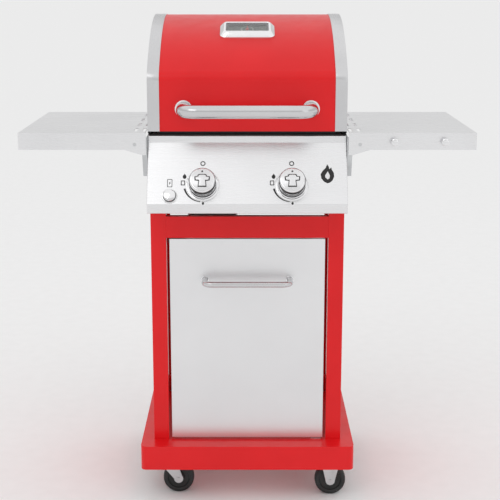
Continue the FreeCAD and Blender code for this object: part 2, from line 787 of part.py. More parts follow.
def manifold():
    """Gas tube behind the panel and the brass inlet at its right end."""
    tube = rod("manifold_tube", "X", (-130, s.manifold_depth, s.manifold_height), 290, s.manifold_radius)
    node("gas_manifold", tube)
    x, y, z = as_size(160), s.manifold_depth, s.manifold_height
    nut = rod("inlet_nut", "X", (x, y, z), 14, 11)
    spigot = rod("inlet_spigot", "X", (x + 14, y, z), 22, 4.5)
    node("gas_inlet_fitting", fuse("gas_inlet_fitting", nut, spigot))


# ---------------------------------------------------------------- lid

def lid_block(name, inset, x, bottom, back_bottom):
    """The lid's outline moved inwards by inset, filled solid."""
    front, back = s.lid_front + inset, s.lid_back - inset
    radius = s.lid_radius - inset

    def height_at(depth):
        reach = s.lid_centre_depth - depth
        return s.lid_centre_height + square_root(radius * radius - reach * reach)

    points = [(front, bottom), (front, height_at(front), -radius), (back, height_at(back)),
              (back, back_bottom),
              (back - 20, bottom)]
    block = extrusion(name, "YZ", x[0], x[1], points)

    def is_bend(edge, depth):
        return runs_along(edge,
                          Vector(1, 0,
                                 0)) and edge.BoundBox.ZMin > 950 and abs(edge.BoundBox.YMin - depth) < 0.5

    round_edges(block, f"{name}_front_bend", s.lid_front_bend - inset,
                lambda edge: is_bend(edge, front.value))
    round_edges(block, f"{name}_back_bend", s.lid_back_bend - inset, lambda edge: is_bend(edge, back.value))
    return block


def lid():
    gauge = s.sheet_gauge
    half = s.lid_half_width
    band = half - s.lid_band
    outer = lid_block("lid_skin", as_size(0), (-band - 10, band + 10), s.lid_bottom, s.lid_back_bottom)
    inner = lid_block("lid_skin_hollow", gauge, (-band - 11, band + 11), s.lid_bottom - 5,
                      s.lid_back_bottom - 5)
    node("lid_shell", cut("lid_shell", outer, inner, gauge_rod("lid_probe_hole", -10, 20, 5)))
    for side, label in ((LEFT, "left"), (RIGHT, "right")):
        cover = lid_block(f"{label}_cap_block", as_size(-1.5), mirrored(band, half, side), s.lid_bottom,
                          s.lid_back_bottom)
        hollow = lid_block(f"{label}_cap_hollow", as_size(0), mirrored(band - 1, half - gauge, side),
                           s.lid_bottom - 5, s.lid_back_bottom - 5)
        pin = rod(f"{label}_cap_pin_bore", "X", (half * side - 10, s.lid_pivot_depth, s.lid_pivot_height),
                  20, 4.1)
        node(f"lid_{label}_cap", cut(f"lid_{label}_cap", cover, hollow, pin))
    handle()


def handle():
    across, bend = s.lid_handle_across, as_size(32)
    front = s.lid_handle_depth
    points = [(-across, s.lid_front), (-across, front + bend, bend), (bend - across, front),
              (across - bend, front, bend), (across, front + bend), (across, s.lid_front)]
    node("lid_handle", bent_tube("lid_handle", points, s.lid_tube_radius, s.lid_handle_height))
    rings = [cut(f"lid_ring_{side}", rod(f"lid_ring_{side}_outer", "Y", (across * side, s.lid_front - 3,
                                                                         s.lid_handle_height), 3, 19.5),
                 rod(f"lid_ring_{side}_bore", "Y", (across * side, s.lid_front - 4, s.lid_handle_height), 5,
                     s.lid_tube_radius)) for side in (LEFT, RIGHT)]
    node("lid_handle_ferrules", group("lid_handle_ferrules", *rings))


def on_lid(item):
    """Sets a piece made along local +Z on the lid, square to its arc."""
    tilt = s.gauge_tilt
    depth = s.lid_centre_depth - s.lid_radius * sine(tilt)
    height = s.lid_centre_height + s.lid_radius * cosine(tilt)
    return tilted(item, (0, depth, height), tilt)


def gauge_rod(name, low, length, radius):
    item = doc.addObject("Part::Cylinder", name)
    bind(item, "Radius", radius)
    bind(item, "Height", length)
    depth = s.lid_centre_depth - (s.lid_radius + low) * sine(s.gauge_tilt)
    height = s.lid_centre_height + (s.lid_radius + low) * cosine(s.gauge_tilt)
    return tilted(item, (0, depth, height), s.gauge_tilt)


def gauge():
    """Lid thermometer: frame, dial, needle, window and probe."""
    half_x, half_y, rise = s.gauge_half_width, s.gauge_half_height, s.gauge_rise
    frame = extrusion("gauge_frame", "XY", -2, rise, rectangle(-half_x, half_x, -half_y, half_y))
    round_edges(frame, "gauge_corners", 12, is_upright)
    window = slab("gauge_window", (14 - half_x, half_x - 14), (14 - half_y, half_y - 14), (2, rise + 1))
    bore = rod("gauge_bore", "Z", (0, 0, -5), 20, 4.5)
    lid_curve = rod("gauge_lid_curve", "X", (-half_x - 5, 0, -s.lid_radius), half_x * 2 + 10, s.lid_radius)
    node("thermometer_bezel", on_lid(cut("gauge_bezel", frame, window, bore, lid_curve)))
    dial = cut("gauge_dial", slab("gauge_dial_plate", (14 - half_x, half_x - 14),
                                  (14 - half_y, half_y - 14), (2, 3)),
               rod("gauge_dial_bore", "Z", (0, 0, 0), 5, 2))
    node("thermometer_dial", on_lid(dial))
    needle = fuse("gauge_needle", rod("gauge_needle_hub", "Z", (0, 0, 3.3), 2, 4),
                  rod("gauge_needle_stem", "Z", (0, 0, 0.5), 3.5, 1.5),
                  slab("gauge_needle_blade", (-1, 1), (0, 18), (4, 4.6)))
    node("thermometer_needle", on_lid(needle))
    node("thermometer_lens", on_lid(slab("gauge_lens", (14 - half_x, half_x - 14),
                                         (14 - half_y, half_y - 14),
                                         (rise - 4, rise - 2))))
    node("thermometer_probe", on_lid(rod("gauge_probe", "Z", (0, 0, -60), 60, 3)))


def lid_hinges():
    """Plates on the shelf brackets with the pins that the lid's side walls turn on."""
    pair = []
    for side, label in ((LEFT, "left"), (RIGHT, "right")):
        plate = slab(f"{label}_hinge_plate", mirrored(s.lid_half_width + 0.5, s.lid_half_width + 3, side),
                     (s.lid_pivot_depth - 14, s.lid_pivot_depth + 8),
                     (s.shelf_top - 10, s.lid_pivot_height + 9))
        low = mirrored(s.lid_half_width - 8, s.lid_half_width + 3, side)[0]
        pin = rod(f"{label}_hinge_pin", "X", (low, s.lid_pivot_depth, s.lid_pivot_height), 11, 4)
        pair.append(fuse(f"{label}_hinge", plate, pin))
    node("lid_hinge_brackets", group("lid_hinge_brackets", *pair))


def lid_bumpers():
    """Rubber feet on the firebox rim that the closed lid rests on."""
    pads = [rod(f"bumper_{side}_{place}", "Z", ((s.lid_half_width - 3) * side, s.cart_front + 12 * place,
                                        s.cart_top + s.sheet_gauge),
                                        s.lid_bottom - s.cart_top - s.sheet_gauge - 0.2, 5)
            for side in (LEFT, RIGHT) for place in (0, 2)]
    node("lid_bumpers", group("lid_bumpers", *pads))


# ---------------------------------------------------------------- shelves

def shelf(side, label):
    """Folded steel shelf: top plate with slots, and flanges that deepen about the pivot."""
    gauge = s.sheet_gauge
    x = mirrored(s.shelf_inner, s.shelf_outer, side)
    low = s.shelf_top - s.shelf_flange
    plate = slab(f"{label}_plate", x, (s.shelf_front, s.shelf_back), (s.shelf_top - gauge, s.shelf_top))
    rim = slab(f"{label}_rim", mirrored(s.shelf_outer - gauge, s.shelf_outer, side),
               (s.shelf_front, s.shelf_back),
               (low, s.shelf_top))
    pieces = [plate, rim]
    pivot, height, ear = s.shelf_pivot_across, s.shelf_pivot_height, s.shelf_ear_inner
    for end, depth in (("front", s.shelf_front), ("back", s.shelf_back - gauge)):
        points = [(s.shelf_outer * side, s.shelf_top), (ear * side, s.shelf_top),
                  (ear * side, low - s.shelf_ear_drop), ((ear + 10) * side, low - s.shelf_ear_drop),
                  ((pivot + 24) * side, low), (s.shelf_outer * side, low)]
        pieces.append(extrusion(f"{label}_{end}_flange", "XZ", depth, depth + gauge, points))
    cutters = [rod(f"{label}_pivot_bore", "Y", (pivot * side, s.shelf_front - 5, height), 440, 4.06)]
    for row, across in enumerate((236, 255)):
        for place in range(4):
            middle = s.shelf_front + 58 + 100 * place
            cutters.append(slab(f"{label}_slot_{row}_{place}", mirrored(across - 3.5, across + 3.5, side),
                                (middle - 28, middle + 28), (s.shelf_top - 3, s.shelf_top + 1)))
    node(f"{label}_shelf", cut(f"{label}_shelf", fuse(f"{label}_shelf_body", *pieces), *cutters))


def shelf_bracket(side, label):
    """Upright web on the cart's side with an ear and a pivot pin at each end."""
    wall = s.cart_half_width
    top = s.shelf_top - 6
    web = slab(f"{label}_web", mirrored(wall, wall + 2, side), (s.shelf_front + 3, s.shelf_back - 3),
               (s.bracket_bottom, top - 4))
    pieces = [web]
    pivot, height = s.shelf_pivot_across, s.shelf_pivot_height
    for end, depth, pin_depth in (("front", s.shelf_front + 3, s.shelf_front),
                                  ("back", s.shelf_back - 5.5, s.shelf_back - 5.5)):
        points = [(wall * side, top - 4), (wall * side, s.bracket_bottom),
                  ((wall + 10) * side, s.bracket_bottom),
                  ((wall + 12) * side, height - 18), ((pivot + 12) * side, height - 10),
                  ((pivot + 12) * side, height + 12), ((pivot - 4) * side, top - 4)]
        pieces.append(extrusion(f"{label}_{end}_bracket_ear", "XZ", depth, depth + 2.5, points))
        pieces.append(rod(f"{label}_{end}_pin", "Y", (pivot * side, pin_depth, height), 5.5, 4))
    node(f"{label}_shelf_bracket", fuse(f"{label}_shelf_bracket", *pieces))


def tool_hooks():
    """Two pegs with round heads on the right shelf's front flange."""
    pegs = [fuse(f"hook_{place}", rod(f"hook_{place}_peg", "Y", (across, s.shelf_front - 12, 873), 12, 4),
                 rod(f"hook_{place}_head", "Y", (across, s.shelf_front - 16, 873), 4, 8.5))
            for place, across in enumerate((331, 444))]
    node("tool_hooks", group("tool_hooks", *pegs))


# ---------------------------------------------------------------- drip tray

def grease_tray():
    """Shallow tray under the drain that pulls out to the back on two rails."""
    gauge = s.sheet_gauge
    x, y, z = (s.tray_left, s.tray_right), (s.tray_front, s.tray_back), (s.tray_floor, s.tray_rim)
    hollow = slab("tray_hollow", (x[0] + gauge, x[1] - gauge), (y[0] + gauge, y[1] - gauge),
                  (z[0] + gauge, z[1] + 1))
    node("grease_tray", cut("grease_tray", slab("tray_block", x, y, z), hollow))
    rails = []
    for label, inside, outside in (("left", x[0] + 8, x[0] - 2), ("right", x[1] - 8, x[1] + 2)):
        reach = sorted((inside, outside), key=lambda amount: amount.value)
        upright = sorted((outside, outside + (outside - inside) / 5), key=lambda amount: amount.value)
        floor = slab(f"{label}_rail_floor", reach, (s.cart_front + 20, s.cart_back - 21),
                     (z[0] - 2, z[0] - 0.3))
        wall = slab(f"{label}_rail_wall", upright, (s.cart_front + 20, s.cart_back - 21), (z[0] - 2, 712))
        rails.append(fuse(f"{label}_tray_rail", floor, wall))
    node("grease_tray_rails", group("grease_tray_rails", *rails))


def fasteners():
    """Screw heads that hold the side panels to the base, low on each side."""
    wall = s.cart_half_width
    heads = [rod(f"foot_screw_{side}_{place}", "X",
                 (mirrored(wall, wall + 2, side)[0], depth, s.base_top + 20), 2, 4)
             for side in (LEFT, RIGHT) for place, depth in enumerate((s.cart_front + 40, s.cart_back - 40))]
    node("cart_screws", group("cart_screws", *heads))


def build():
    base_pan()
    caster_rails()
    casters()
    side_panels()
    cross_members()
    door()
    door_hinges()
    door_catch()
    firebox()
    burners()
    flame_tamers()
    electrodes()
    grates()
    control_panel()
    valves()
    igniter()
    manifold()
    lid()
    gauge()
    lid_hinges()
    lid_bumpers()
    for side, label in ((LEFT, "left"), (RIGHT, "right")):
        shelf(side, label)
        shelf_bracket(side, label)
    tool_hooks()
    grease_tray()
    fasteners()


def check_and_write():
    """Stops on any failed object, then writes one STEP file per node."""
    doc.recompute()
    failed = [item.Name for item in doc.Objects if {"Invalid", "Error"} & set(item.State)]
    failed += [item.Label for item in nodes if item.Shape.isNull() or not item.Shape.isValid()]
    if failed:
        raise RuntimeError(f"failed objects: {failed}")
    os.makedirs("parts", exist_ok=True)
    for item in nodes:
        item.Shape.exportStep(f"parts/{item.Label}.step")
        print(f"{item.Label}: {item.Shape.Volume / 1000:.1f} cm3, {len(item.Shape.Solids)} solids")


build()
check_and_write()
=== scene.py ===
import json
import math

import bmesh
import bpy
from mathutils import Matrix, Vector


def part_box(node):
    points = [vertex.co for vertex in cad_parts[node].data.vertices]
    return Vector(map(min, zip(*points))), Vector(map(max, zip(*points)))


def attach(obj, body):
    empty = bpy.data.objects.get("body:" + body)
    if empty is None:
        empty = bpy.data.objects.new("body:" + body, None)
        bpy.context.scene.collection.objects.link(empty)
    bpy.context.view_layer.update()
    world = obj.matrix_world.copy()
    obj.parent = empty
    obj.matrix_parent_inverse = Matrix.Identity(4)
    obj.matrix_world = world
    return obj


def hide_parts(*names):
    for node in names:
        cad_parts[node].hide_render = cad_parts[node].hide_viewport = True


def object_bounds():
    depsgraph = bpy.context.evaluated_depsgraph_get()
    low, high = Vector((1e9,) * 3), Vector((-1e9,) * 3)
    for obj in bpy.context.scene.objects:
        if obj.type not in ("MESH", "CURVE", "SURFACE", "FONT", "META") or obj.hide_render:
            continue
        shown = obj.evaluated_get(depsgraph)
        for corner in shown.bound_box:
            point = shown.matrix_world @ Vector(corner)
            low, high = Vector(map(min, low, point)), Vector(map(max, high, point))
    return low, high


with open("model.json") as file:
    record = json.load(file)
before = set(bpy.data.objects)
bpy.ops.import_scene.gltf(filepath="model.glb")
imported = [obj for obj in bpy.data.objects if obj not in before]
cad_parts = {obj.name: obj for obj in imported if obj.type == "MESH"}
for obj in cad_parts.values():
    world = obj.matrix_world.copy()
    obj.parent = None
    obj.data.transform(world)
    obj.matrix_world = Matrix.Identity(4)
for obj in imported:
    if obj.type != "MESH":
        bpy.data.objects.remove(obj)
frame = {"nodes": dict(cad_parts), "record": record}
cad_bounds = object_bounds()
MM = 0.001
MARK_RISE = 0.16  # how far printed marks stand off the panel, in millimetres
JOINTS = {joint["name"]: joint for joint in frame["record"]["behaviour"]["joints"]}


# ---------------------------------------------------------------- materials

def new_material(name):
    material = bpy.data.materials.new(name)
    material.use_nodes = True
    return material, material.node_tree.nodes["Principled BSDF"]


def add_node(material, kind, **settings):
    node = material.node_tree.nodes.new(kind)
    for key, value in settings.items():
        setattr(node, key, value)
    return node


def link(material, source, output, target, socket):
    material.node_tree.links.new(source.outputs[output], target.inputs[socket])


def object_points(material, scale):
    """Object coordinates scaled along each axis."""
    points = add_node(material, "ShaderNodeTexCoord")
    mapping = add_node(material, "ShaderNodeMapping")
    mapping.inputs["Scale"].default_value = scale
    link(material, points, "Object", mapping, "Vector")
    return mapping


def noise(material, scale, detail=4.0, stretch=(1.0, 1.0, 1.0)):
    texture = add_node(material, "ShaderNodeTexNoise")
    texture.inputs["Scale"].default_value = scale
    texture.inputs["Detail"].default_value = detail
    link(material, object_points(material, stretch), "Vector", texture, "Vector")
    return texture


NOISE_LOW, NOISE_HIGH = 0.3, 0.7  # the middle range of a noise texture


def spread(material, source, low, high):
    """The source's middle range mapped to low..high."""
    remap = add_node(material, "ShaderNodeMapRange")
    remap.inputs["From Min"].default_value = NOISE_LOW
    remap.inputs["From Max"].default_value = NOISE_HIGH
    remap.inputs["To Min"].default_value = low
    remap.inputs["To Max"].default_value = high
    link(material, source, "Fac", remap, "Value")
    return remap


def tint(material, shader, source, dark, light):
    """Base colour that drifts from dark to light with the source."""
    ramp = add_node(material, "ShaderNodeValToRGB")
    for stop, position, color in zip(ramp.color_ramp.elements, (NOISE_LOW, NOISE_HIGH), (dark, light)):
        stop.position = position
        stop.color = (*color, 1)
    link(material, source, "Fac", ramp, "Fac")
    link(material, ramp, "Color", shader, "Base Color")


def bump(material, shader, source, strength, distance):
    relief = add_node(material, "ShaderNodeBump")
    relief.inputs["Strength"].default_value = strength
    relief.inputs["Distance"].default_value = distance
    link(material, source, "Fac", relief, "Height")
    link(material, relief, "Normal", shader, "Normal")


def red_paint():
    """Baked enamel: clear coat, orange peel and faint tonal drift."""
    material, shader = new_material("red_enamel")
    shader.inputs["Metallic"].default_value = 0.0
    shader.inputs["Coat Weight"].default_value = 0.2
    shader.inputs["Specular IOR Level"].default_value = 0.22
    shader.inputs["Coat Roughness"].default_value = 0.12
    tint(material, shader, noise(material, 6), (0.74, 0.007, 0.01), (0.82, 0.01, 0.014))
    rough = spread(material, noise(material, 35), 0.3, 0.4)
    link(material, rough, "Result", shader, "Roughness")
    bump(material, shader, noise(material, 420, 2), 0.05, 0.0004)
    return material


def brushed(name, dark, light, grain, low=0.24, high=0.4, depth=0.05):
    """Brushed sheet metal. grain is the stretch of the brush lines, small along the lines."""
    material, shader = new_material(name)
    shader.inputs["Metallic"].default_value = 1.0
    lines = noise(material, 1.0, 6, grain)
    cloud = noise(material, 5)
    tint(material, shader, cloud, dark, light)
    link(material, spread(material, lines, low, high), "Result", shader, "Roughness")
    bump(material, shader, lines, depth, 0.0002)
    return material


def polished(name, dark, light, low=0.06, high=0.14):
    """Bright plated metal with faint smears."""
    material, shader = new_material(name)
    shader.inputs["Metallic"].default_value = 1.0
    tint(material, shader, noise(material, 20), dark, light)
    link(material, spread(material, noise(material, 60), low, high), "Result", shader, "Roughness")
    return material


def dull(name, dark, light, low=0.45, high=0.65, grain=300, depth=0.15, metallic=0.0):
    """Moulded, cast or painted surface with a fine grain."""
    material, shader = new_material(name)
    shader.inputs["Metallic"].default_value = metallic
    tint(material, shader, noise(material, 25), dark, light)
    link(material, spread(material, noise(material, 90), low, high), "Result", shader, "Roughness")
    bump(material, shader, noise(material, grain), depth, 0.0005)
    return material


def clear_glass():
    material, shader = new_material("window_glass")
    shader.inputs["Transmission Weight"].default_value = 1.0
    shader.inputs["IOR"].default_value = 1.45
    shader.inputs["Specular IOR Level"].default_value = 0.2
    tint(material, shader, noise(material, 8), (0.95, 0.97, 0.97), (1.0, 1.0, 1.0))
    link(material, spread(material, noise(material, 40), 0.01, 0.04), "Result", shader, "Roughness")
    return material


RED = red_paint()
STEEL = brushed("brushed_steel_across", (0.8, 0.8, 0.81), (0.85, 0.85, 0.86), (6, 900, 900), 0.24, 0.34,
                0.03)
STEEL_DOOR = brushed("brushed_steel_door", (0.8, 0.8, 0.81), (0.84, 0.84, 0.85), (6, 900, 900), 0.34,
                     0.42, 0.02)
# A darker copy of the brushed steel for the lid's end caps: painted shade for the shade on their curved
# tops.
STEEL_SHADED = brushed("brushed_steel_painted_shade", (0.62, 0.62, 0.63), (0.7, 0.7, 0.71), (900, 6, 900))
TUBE_STEEL = brushed("satin_tube", (0.62, 0.62, 0.63), (0.7, 0.7, 0.71), (8, 700, 700), 0.14, 0.22, 0.03)
CHROME = polished("chrome", (0.82, 0.82, 0.83), (0.9, 0.9, 0.91))
ZINC = dull("zinc_plate", (0.55, 0.56, 0.57), (0.68, 0.69, 0.7), 0.3, 0.45, 500, 0.06, 1.0)
RUBBER = dull("black_rubber", (0.012, 0.012, 0.012), (0.022, 0.022, 0.022), 0.45, 0.62)
ENAMEL = dull("black_enamel", (0.01, 0.01, 0.01), (0.02, 0.02, 0.02), 0.3, 0.45, 250, 0.1)
IRON = dull("cast_iron", (0.02, 0.02, 0.02), (0.035, 0.035, 0.035), 0.5, 0.7, 700, 0.4)
BRASS = polished("brass", (0.62, 0.42, 0.16), (0.72, 0.5, 0.2), 0.2, 0.3)
CAST = dull("cast_aluminium", (0.45, 0.45, 0.46), (0.58, 0.58, 0.59), 0.4, 0.55, 600, 0.3, 1.0)
PLASTIC = dull("black_plastic", (0.015, 0.015, 0.015), (0.025, 0.025, 0.025), 0.35, 0.5)
CERAMIC = dull("white_ceramic", (0.8, 0.79, 0.75), (0.88, 0.87, 0.84), 0.15, 0.25, 100, 0.02)
# Black print, also used as painted shade for the dark inside of the screws' cross recesses.
INK_AND_SHADE = dull("black_ink_and_painted_shade", (0.01, 0.01, 0.01), (0.02, 0.02, 0.02), 0.5, 0.6, 900, 0.02)
PEARL = dull("pearl_cap", (0.8, 0.8, 0.81), (0.88, 0.88, 0.89), 0.18, 0.28, 500, 0.02, 0.35)
DIAL = dull("dial_print", (0.07, 0.085, 0.07), (0.1, 0.12, 0.1), 0.5, 0.6, 700, 0.02)
GREEN = dull("dial_green", (0.03, 0.2, 0.06), (0.05, 0.26, 0.08), 0.4, 0.5, 700, 0.02)
NEEDLE = dull("needle_red", (0.6, 0.02, 0.02), (0.7, 0.03, 0.03), 0.4, 0.5, 700, 0.02)
GLASS = clear_glass()

CAD_LOOKS = {
    RED: ("base_pan", "left_side_panel", "right_side_panel", "front_crossbar", "rear_braces", "lid_shell"),
    STEEL: ("left_shelf", "right_shelf"),
    STEEL_DOOR: ("door_skin",),
    STEEL_SHADED: ("lid_left_cap", "lid_right_cap"),
    TUBE_STEEL: ("lid_handle", "door_handle"),
    CHROME: ("lid_handle_ferrules", "door_handle_ferrules"),
    ZINC: ("fixed_caster_forks", "front_left_caster_fork", "rear_left_caster_fork", "swivel_caster_plates",
           "left_shelf_bracket", "right_shelf_bracket", "door_liner", "caster_rails", "door_hinge_pins",
           "lid_hinge_brackets", "burners", "gas_manifold", "left_valve_stem", "right_valve_stem",
           "grease_tray_rails", "thermometer_probe"),
    RUBBER: ("lid_bumpers",),
    ENAMEL: ("firebox", "grease_tray", "flame_tamers"),
    IRON: ("cooking_grates",),
    BRASS: ("gas_inlet_fitting",),
    CAST: ("valve_bodies",),
    PLASTIC: ("igniter_module", "door_magnet_catch"),
    CERAMIC: ("igniter_electrodes",),
    DIAL: ("thermometer_dial",),
    NEEDLE: ("thermometer_needle",),
    GLASS: ("thermometer_lens",),
}

# How far the corners of these CAD pieces are eased, in millimetres.
SOFT_EDGES = {
    "left_side_panel": 0.5, "right_side_panel": 0.5, "front_crossbar": 0.5, "door_skin": 0.5,
    "lid_left_cap": 0.5, "lid_right_cap": 0.5, "fixed_caster_forks": 0.6, "front_left_caster_fork": 0.6,
    "rear_left_caster_fork": 0.6, "left_shelf_bracket": 0.4, "right_shelf_bracket": 0.4,
    "lid_handle_ferrules": 0.8, "door_handle_ferrules": 0.6, "rear_braces": 0.5,
}
WELD_DISTANCE = 0.00001


def bevel_corners(item, name, width, angle):
    """Bevels the item's edges that are sharper than an angle in degrees."""
    bevel = item.modifiers.new(name, "BEVEL")
    bevel.width = width * MM
    bevel.segments = 3
    bevel.limit_method = "ANGLE"
    bevel.angle_limit = math.radians(angle)
    return bevel


def ease_edges(item, width):
    weld = item.modifiers.new("weld", "WELD")
    weld.merge_threshold = WELD_DISTANCE
    bevel_corners(item, "eased_edges", width, 40).harden_normals = True


def dress_cad():
    """Gives every shown CAD node its material and its eased edges."""
    for material, names in CAD_LOOKS.items():
        for name in names:
            item = frame["nodes"][name]
            for slot in item.material_slots:
                slot.link = "OBJECT"
                slot.material = material
    for name, width in SOFT_EDGES.items():
        ease_edges(frame["nodes"][name], width)


# ---------------------------------------------------------------- mesh pieces

def piece(name, mesh, material, body, slot, *replaced):
    """A finished piece with its material, its body and the CAD nodes that it stands for. The slot argument
    is not used.
    """
    item = bpy.data.objects.new(name, mesh)
    bpy.context.collection.objects.link(item)
    mesh.materials.append(material)
    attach(item, body)
    if replaced:
        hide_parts(*replaced)
    return item


def mesh_from(name, work, matrix, smooth_angle=35):
    """Turns a bmesh that was made in millimetres into a mesh in place."""
    work.transform(Matrix.Scale(MM, 4))
    work.transform(matrix)
    bmesh.ops.recalc_face_normals(work, faces=work.faces)
    mesh = bpy.data.meshes.new(name)
    work.to_mesh(mesh)
    work.free()
    mesh.shade_smooth()
    mesh.set_sharp_from_angle(angle=math.radians(smooth_angle))
    return mesh


def lathe(name, profile, matrix, steps=96):
    """Turns (radius, height) points about +Z. A profile that starts and ends on the axis is closed."""
    work = bmesh.new()
    rings = []
    for radius, height in profile:
        if radius == 0:
            rings.append([work.verts.new((0, 0, height))])
        else:
            rings.append([work.verts.new((radius * math.cos(math.tau * step / steps),
                                          radius * math.sin(math.tau * step / steps), height))
                          for step in range(steps)])
    pairs = list(zip(rings, rings[1:]))
    if profile[0][0] and profile[-1][0]:
        pairs.append((rings[-1], rings[0]))
    for low, high in pairs:
        for step in range(steps):
            after = (step + 1) % steps
            corners = [low[step % len(low)], low[after % len(low)], high[after % len(high)],
                       high[step % len(high)]]
            work.faces.new(list(dict.fromkeys(corners)))
    return mesh_from(name, work, matrix)


def prism(name, points, low, high, matrix, edge=0.0):
    """A flat outline given a thickness, with eased rims."""
    work = bmesh.new()
    face = work.faces.new([work.verts.new((x, y, low)) for x, y in points])
    grown = bmesh.ops.extrude_face_region(work, geom=[face])
    moved = [item for item in grown["geom"] if isinstance(item, bmesh.types.BMVert)]
    bmesh.ops.translate(work, verts=moved, vec=(0, 0, high - low))
    if edge:
        rims = [item for item in work.edges if all(abs(v.co.z - high) < 1e-6 for v in item.verts)]
        bmesh.ops.bevel(work, geom=rims, offset=edge, segments=3, affect="EDGES", profile=0.5)
    return mesh_from(name, work, matrix)


def rounded_rectangle(half_x, half_y, corner, steps=6):
    points = []
    for turn, (x, y) in enumerate(((1, 1), (-1, 1), (-1, -1), (1, -1))):
        for step in range(steps + 1):
            angle = math.radians(90 * turn + 90 * step / steps)
            points.append((x * (half_x - corner) + corner * math.cos(angle),
                           y * (half_y - corner) + corner * math.sin(angle)))
    return points


def loft(name, loops, matrix):
    """Joins rounded rectangles (half width, half height, corner, level) in turn and back to the first."""
    work = bmesh.new()
    rings = [[work.verts.new((x, y, level)) for x, y in rounded_rectangle(half_x, half_y, corner)]
             for half_x, half_y, corner, level in loops]
    for low, high in zip(rings, rings[1:] + rings[:1]):
        for step in range(len(low)):
            after = (step + 1) % len(low)
            work.faces.new((low[step], low[after], high[after], high[step]))
    return mesh_from(name, work, matrix, 25)


def facing(position, axis, across=(1, 0, 0)):
    """A frame at a position whose +Z is the axis and whose +X is the across direction."""
    out, across = Vector(axis).normalized(), Vector(across)
    up = out.cross(across)
    return Matrix.Translation(position) @ Matrix((across, up, out)).transposed().to_4x4()


def facing_side(position, sign_x):
    """A frame at a position whose +Z points out of the grill's side."""
    return facing(position, (sign_x, 0, 0), (0, sign_x, 0))


def moved(matrix, across, up):
    return matrix @ Matrix.Translation((across * MM, up * MM, 0))


def turned_round(points, angle):
    sine, cosine = math.sin(angle), math.cos(angle)
    return [(x * cosine - y * sine, x * sine + y * cosine) for x, y in points]


# ---------------------------------------------------------------- control panel

def rounded_path(points, radii, steps=8):
    """A polyline with each inner corner replaced by an arc."""
    path = [Vector(points[0])]
    for before, corner, after, radius in zip(points, points[1:], points[2:], radii):
        corner = Vector(corner)
        back = (Vector(before) - corner).normalized()
        onward = (Vector(after) - corner).normalized()
        half = back.angle(onward) / 2
        reach = radius / math.tan(half)
        centre = corner + (back + onward).normalized() * (radius / math.sin(half))
        start, end = corner + back * reach - centre, corner + onward * reach - centre
        turn = start.angle_signed(end)
        for step in range(steps + 1):
            angle = -turn * step / steps
            path.append(centre + Matrix.Rotation(angle, 2) @ start)
    path.append(Vector(points[-1]))
    return path


def control_panel():
    """Formed steel panel: lip, leaning face and a steep top band, with closed ends."""
    low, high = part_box("control_panel")
    front, back = low.y / MM, high.y / MM
    bottom, top = low.z / MM, high.z / MM
    lip_depth, lip_rise, face_depth, band_rise, band_depth = 5, 22, 74.5, 15, 1
    corners = [(back, bottom), (front + lip_depth, bottom), (front, bottom + lip_rise),
               (front + face_depth, top - band_rise), (front + face_depth + band_depth, top), (back, top)]
    path = rounded_path(corners, (2.5, 3, 5, 2.5))
    work = bmesh.new()
    ends = [[work.verts.new((side, point.x,
                             point.y)) for point in path] for side in (low.x / MM, high.x / MM)]
    for step in range(len(path) - 1):
        work.faces.new((ends[0][step], ends[1][step], ends[1][step + 1], ends[0][step + 1]))
    for ring in ends:
        work.faces.new(ring)
    item = piece("control_panel_skin", mesh_from("control_panel_skin", work, Matrix(), 50), STEEL, "cart",
                 "stainless", "control_panel")
    bevel_corners(item, "end_folds", 1.5, 60)
    solid = item.modifiers.new("gauge", "SOLIDIFY")
    solid.thickness = 1.2 * MM
    solid.offset = -1


# The outline of a plain flame and of its light core, as (x, y) in units of the sign's size.
FLAME = [(0.0, -0.5), (-0.16, -0.42), (-0.3, -0.24), (-0.33, -0.02), (-0.22, 0.16), (-0.08, 0.3), (0.0, 0.5),
         (0.08, 0.36), (0.1, 0.24), (0.2, 0.34), (0.22, 0.22), (0.32, 0.04), (0.33, -0.16), (0.24, -0.36),
         (0.12, -0.46)]
FLAME_CORE = [(0.02, -0.38), (-0.12, -0.26), (-0.14, -0.1), (-0.04, 0.04), (0.02, 0.16), (0.1, 0.02),
              (0.16, -0.14),
              (0.12, -0.3)]


def sign(name, points, size, matrix, material=INK_AND_SHADE, low=0.0, high=MARK_RISE):
    """A printed shape on the panel, as a very thin raised piece."""
    scaled = [(x * size, y * size) for x, y in points]
    piece(name, prism(name, scaled, low, high, matrix), material, "cart", "black_plastic")


def ring_points(inner, outer, start, end, steps=40):
    """A band round the origin that widens from about a third of its width to all of it."""
    thin = 0.35
    near, far = [], []
    for step in range(steps + 1):
        part = step / steps
        angle = math.radians(start + (end - start) * part)
        reach = inner + (outer - inner) * (thin + (1 - thin) * part)
        near.append((inner * math.cos(angle), inner * math.sin(angle)))
        far.append((reach * math.cos(angle), reach * math.sin(angle)))
    return near + far[::-1]


